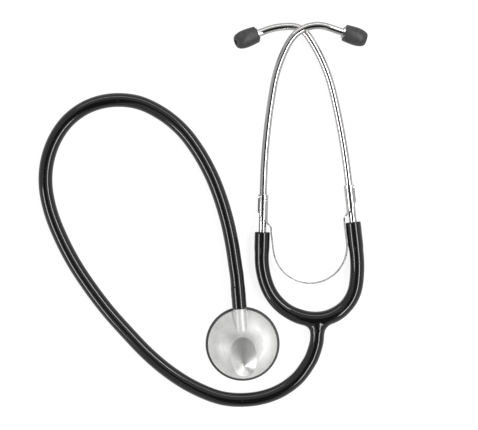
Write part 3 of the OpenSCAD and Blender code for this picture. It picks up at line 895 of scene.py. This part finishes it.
class MakeStage(bpy.types.Operator):
    """Make the camera, the lamps, the surroundings and the table"""

    bl_idname = "stethoscope.make_stage"
    bl_label = "Make stage"

    def execute(self, context):
        scene = context.scene
        looks = scene.stage_looks
        scene.view_settings.view_transform = "Standard"
        self.add_camera(scene, looks)
        self.add_lamps(scene, looks)
        self.add_surroundings(scene, looks)
        self.add_table(scene)
        return {"FINISHED"}

    def add_camera(self, scene, looks):
        """A camera that looks straight down, at the photograph's scale."""
        data = bpy.data.cameras.new("camera")
        data.sensor_width = 36.0
        data.lens = data.sensor_width * looks.camera_height / looks.view_width
        camera = bpy.data.objects.new("camera", data)
        camera.location = (*looks.view_centre, looks.camera_height + ARM_Z * MM)
        scene.collection.objects.link(camera)
        scene.camera = camera

    def add_lamps(self, scene, looks):
        """A short strip lamp at the left front, a long one at the right and a dim wide one behind."""
        strips = [
            ("left strip", (-0.92, -0.36, 0.77), (0.8, 0.2), -0.36, 0.44),
            ("right strip", (0.68, 0.08, 0.98), (1.8, 0.2), 0.08, 1.0),
            ("back strip", (0.0, 1.1, 0.68), (1.6, 0.2), 0.08, 0.25),
        ]
        for name, place, size, aim_y, share in strips:
            data = bpy.data.lights.new(name, "AREA")
            data.shape = "RECTANGLE"
            data.size, data.size_y = size
            data.energy = looks.strip_power * share
            lamp = bpy.data.objects.new(name, data)
            lamp.location = place
            aim = Vector((0.0, aim_y, 0.0)) - Vector(place)
            lamp.rotation_euler = aim.to_track_quat("-Z", "Y").to_euler()
            lamp.visible_camera = False
            scene.collection.objects.link(lamp)

    def add_surroundings(self, scene, looks):
        """White for the camera, and for light a pale room with a dark patch overhead and one in front."""
        world = bpy.data.worlds.new("room")
        world.use_nodes = True
        scene.world = world
        nodes, links = world.node_tree.nodes, world.node_tree.links
        room = nodes["Background"]
        room.inputs["Color"].default_value = (1.0, 1.0, 1.0, 1.0)
        white = nodes.new("ShaderNodeBackground")
        white.inputs["Color"].default_value = (1.0, 1.0, 1.0, 1.0)
        spot = nodes.new("ShaderNodeTexCoord")

        def patch(centre, spread, left):
            """One away from an oval of directions and the value left within it, seen from above."""
            oval = nodes.new("ShaderNodeMapping")
            oval.inputs["Scale"].default_value = (1.0 / spread[0], 1.0 / spread[1], 0.0)
            oval.inputs["Location"].default_value = (-centre[0] / spread[0], -centre[1] / spread[1], 0.0)
            links.new(spot.outputs["Generated"], oval.inputs["Vector"])
            out = nodes.new("ShaderNodeVectorMath")
            out.operation = "LENGTH"
            links.new(oval.outputs["Vector"], out.inputs[0])
            fall = nodes.new("ShaderNodeMapRange")
            fall.interpolation_type = "SMOOTHSTEP"
            fall.inputs["From Min"].default_value = 0.8
            fall.inputs["From Max"].default_value = 1.15
            fall.inputs["To Min"].default_value = left
            fall.inputs["To Max"].default_value = 1.0
            links.new(out.outputs["Value"], fall.inputs["Value"])
            return fall

        overhead = patch((-0.2, 0.0), (0.32, 0.2), 0.08)
        front = patch((0.1, -0.46), (0.3, 0.47), 0.04)
        both = nodes.new("ShaderNodeMath")
        both.operation = "MULTIPLY"
        links.new(overhead.outputs["Result"], both.inputs[0])
        links.new(front.outputs["Result"], both.inputs[1])
        level = nodes.new("ShaderNodeMapRange")
        level.inputs["To Max"].default_value = looks.sky
        links.new(both.outputs["Value"], level.inputs["Value"])
        links.new(level.outputs["Result"], room.inputs["Strength"])
        rays = nodes.new("ShaderNodeLightPath")
        mix = nodes.new("ShaderNodeMixShader")
        links.new(rays.outputs["Is Camera Ray"], mix.inputs["Fac"])
        links.new(room.outputs["Background"], mix.inputs[1])
        links.new(white.outputs["Background"], mix.inputs[2])
        links.new(mix.outputs["Shader"], nodes["World Output"].inputs["Surface"])

    def add_table(self, scene):
        """A wide white table top that keeps the object's shadow."""
        half = 2.0
        mesh = bpy.data.meshes.new("table")
        corners = [(-half, -half, 0.0), (half, -half, 0.0), (half, half, 0.0), (-half, half, 0.0)]
        mesh.from_pydata(corners, [], [(0, 1, 2, 3)])
        table = bpy.data.objects.new("table", mesh)
        table.location.z = -0.0002
        scene.collection.objects.link(table)
        material, shader = finish_material("table white", (0.3, 0.3, 0.3), 0.0, 0.9)
        shader.inputs["Specular IOR Level"].default_value = 0.0
        shader.inputs["Emission Color"].default_value = (1.0, 1.0, 1.0, 1.0)
        rays = add_node(material, "ShaderNodeLightPath")
        shine = add_node(material, "ShaderNodeMath", operation="MULTIPLY")
        shine.inputs[1].default_value = 0.28
        join(material, rays, "Is Glossy Ray", shine, 0)
        glow = add_node(material, "ShaderNodeMath", operation="MULTIPLY_ADD")
        glow.inputs[1].default_value = 0.86
        join(material, rays, "Is Camera Ray", glow, 0)
        join(material, shine, "Value", glow, 2)
        join(material, glow, "Value", shader, "Emission Strength")
        mesh.materials.append(material)


class MakeTubing(bpy.types.Operator):
    """Make the lead tube, its end on the stem, the Y and the two flexible arms"""

    bl_idname = "stethoscope.make_tubing"
    bl_label = "Make tubing"

    def execute(self, context):
        looks = context.scene.tubing_looks
        pieces = [make_lead_tube(looks.sides), make_tube_end(looks.sides), *make_yoke(looks.sides)]
        pieces += [make_arm(side, looks.sides) for side in (-1, 1)]
        dress(pieces, tubing_vinyl(tuple(looks.colour), looks.roughness))
        return {"FINISHED"}


class MakeLeafSpring(bpy.types.Operator):
    """Make the leaf spring in two halves"""

    bl_idname = "stethoscope.make_leaf_spring"
    bl_label = "Make leaf spring"

    def execute(self, context):
        looks = context.scene.metal_looks
        halves = [make_leaf_half(side, 40) for side in (-1, 1)]
        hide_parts("leaf_spring")
        dress(halves, spring_strip(tuple(looks.steel_colour), 0.38))
        return {"FINISHED"}


class MakeClips(bpy.types.Operator):
    """Make the two clips rolled round the ear tubes"""

    bl_idname = "stethoscope.make_clips"
    bl_label = "Make clips"

    def execute(self, context):
        looks = context.scene.metal_looks
        clips = [make_clip(side, 110, 41) for side in (-1, 1)]
        chrome = polished_chrome("clip chrome", tuple(looks.chrome_colour), looks.chrome_roughness * 1.5)
        dress(clips, chrome)
        return {"FINISHED"}


class MakeEarTips(bpy.types.Operator):
    """Make the two soft ear tips"""

    bl_idname = "stethoscope.make_ear_tips"
    bl_label = "Make ear tips"

    def execute(self, context):
        looks = context.scene.soft_looks
        tips = [make_ear_tip(side, 48) for side in (-1, 1)]
        dress(tips, soft_tip(tuple(looks.tip_colour), 0.42))
        return {"FINISHED"}


class FinishMetal(bpy.types.Operator):
    """Finish the head, the stem, the ear tubes and the ferrules"""

    bl_idname = "stethoscope.finish_metal"
    bl_label = "Finish metal"

    def execute(self, context):
        looks = context.scene.metal_looks
        nodes = frame["nodes"]
        satin = turned_aluminium(tuple(looks.head_colour), looks.head_roughness, 0.38)
        dress([nodes["chestpiece_body"]], satin)
        dress([nodes["chestpiece_stem"]], polished_chrome("turned stem", tuple(looks.steel_colour), 0.2))
        chrome = polished_chrome("ear tube chrome", tuple(looks.chrome_colour), looks.chrome_roughness)
        dress([nodes["ear_tube_left"], nodes["ear_tube_right"]], chrome)
        nickel = polished_chrome("ferrule nickel", tuple(looks.chrome_colour), 0.15)
        dress([nodes["tip_ferrule_left"], nodes["tip_ferrule_right"]], nickel)
        return {"FINISHED"}


class FinishRim(bpy.types.Operator):
    """Finish the ring and the diaphragm"""

    bl_idname = "stethoscope.finish_rim"
    bl_label = "Finish rim"

    def execute(self, context):
        looks = context.scene.soft_looks
        nodes = frame["nodes"]
        dress([nodes["diaphragm_ring"]], ring_plastic(tuple(looks.ring_colour), 0.45))
        dress([nodes["diaphragm"]], diaphragm_film(tuple(looks.diaphragm_colour), 0.35))
        return {"FINISHED"}


class StethoscopePanel(bpy.types.Panel):
    """Lists the sizes, the colours and the operators"""

    bl_idname = "VIEW3D_PT_stethoscope"
    bl_label = "Stethoscope"
    bl_space_type = "VIEW_3D"
    bl_region_type = "UI"
    bl_category = "Stethoscope"

    def draw(self, context):
        layout = self.layout
        for group in GROUPS:
            settings = getattr(context.scene, group)
            for key in settings.bl_rna.properties.keys():
                if key not in ("rna_type", "name"):
                    layout.prop(settings, key)
        for operator in OPERATORS:
            layout.operator(operator.bl_idname)


GROUPS = {
    "tubing_looks": TubingLooks,
    "metal_looks": MetalLooks,
    "soft_looks": SoftLooks,
    "stage_looks": StageLooks,
}
OPERATORS = (MakeStage, MakeTubing, MakeLeafSpring, MakeClips, MakeEarTips, FinishMetal, FinishRim)


def register():
    """Registers the classes and hangs the settings on the scene."""
    for cls in (*GROUPS.values(), *OPERATORS, StethoscopePanel):
        bpy.utils.register_class(cls)
    for name, group in GROUPS.items():
        setattr(bpy.types.Scene, name, bpy.props.PointerProperty(type=group))


def unregister():
    """Takes the settings off the scene and unregisters the classes."""
    for name in GROUPS:
        delattr(bpy.types.Scene, name)
    for cls in reversed((*GROUPS.values(), *OPERATORS, StethoscopePanel)):
        bpy.utils.unregister_class(cls)


def main():
    """Makes the stage and every piece in order."""
    register()
    bpy.ops.stethoscope.make_stage()
    bpy.ops.stethoscope.make_tubing()
    bpy.ops.stethoscope.make_leaf_spring()
    bpy.ops.stethoscope.make_clips()
    bpy.ops.stethoscope.make_ear_tips()
    bpy.ops.stethoscope.finish_metal()
    bpy.ops.stethoscope.finish_rim()


if __name__ == "__main__":
    main()
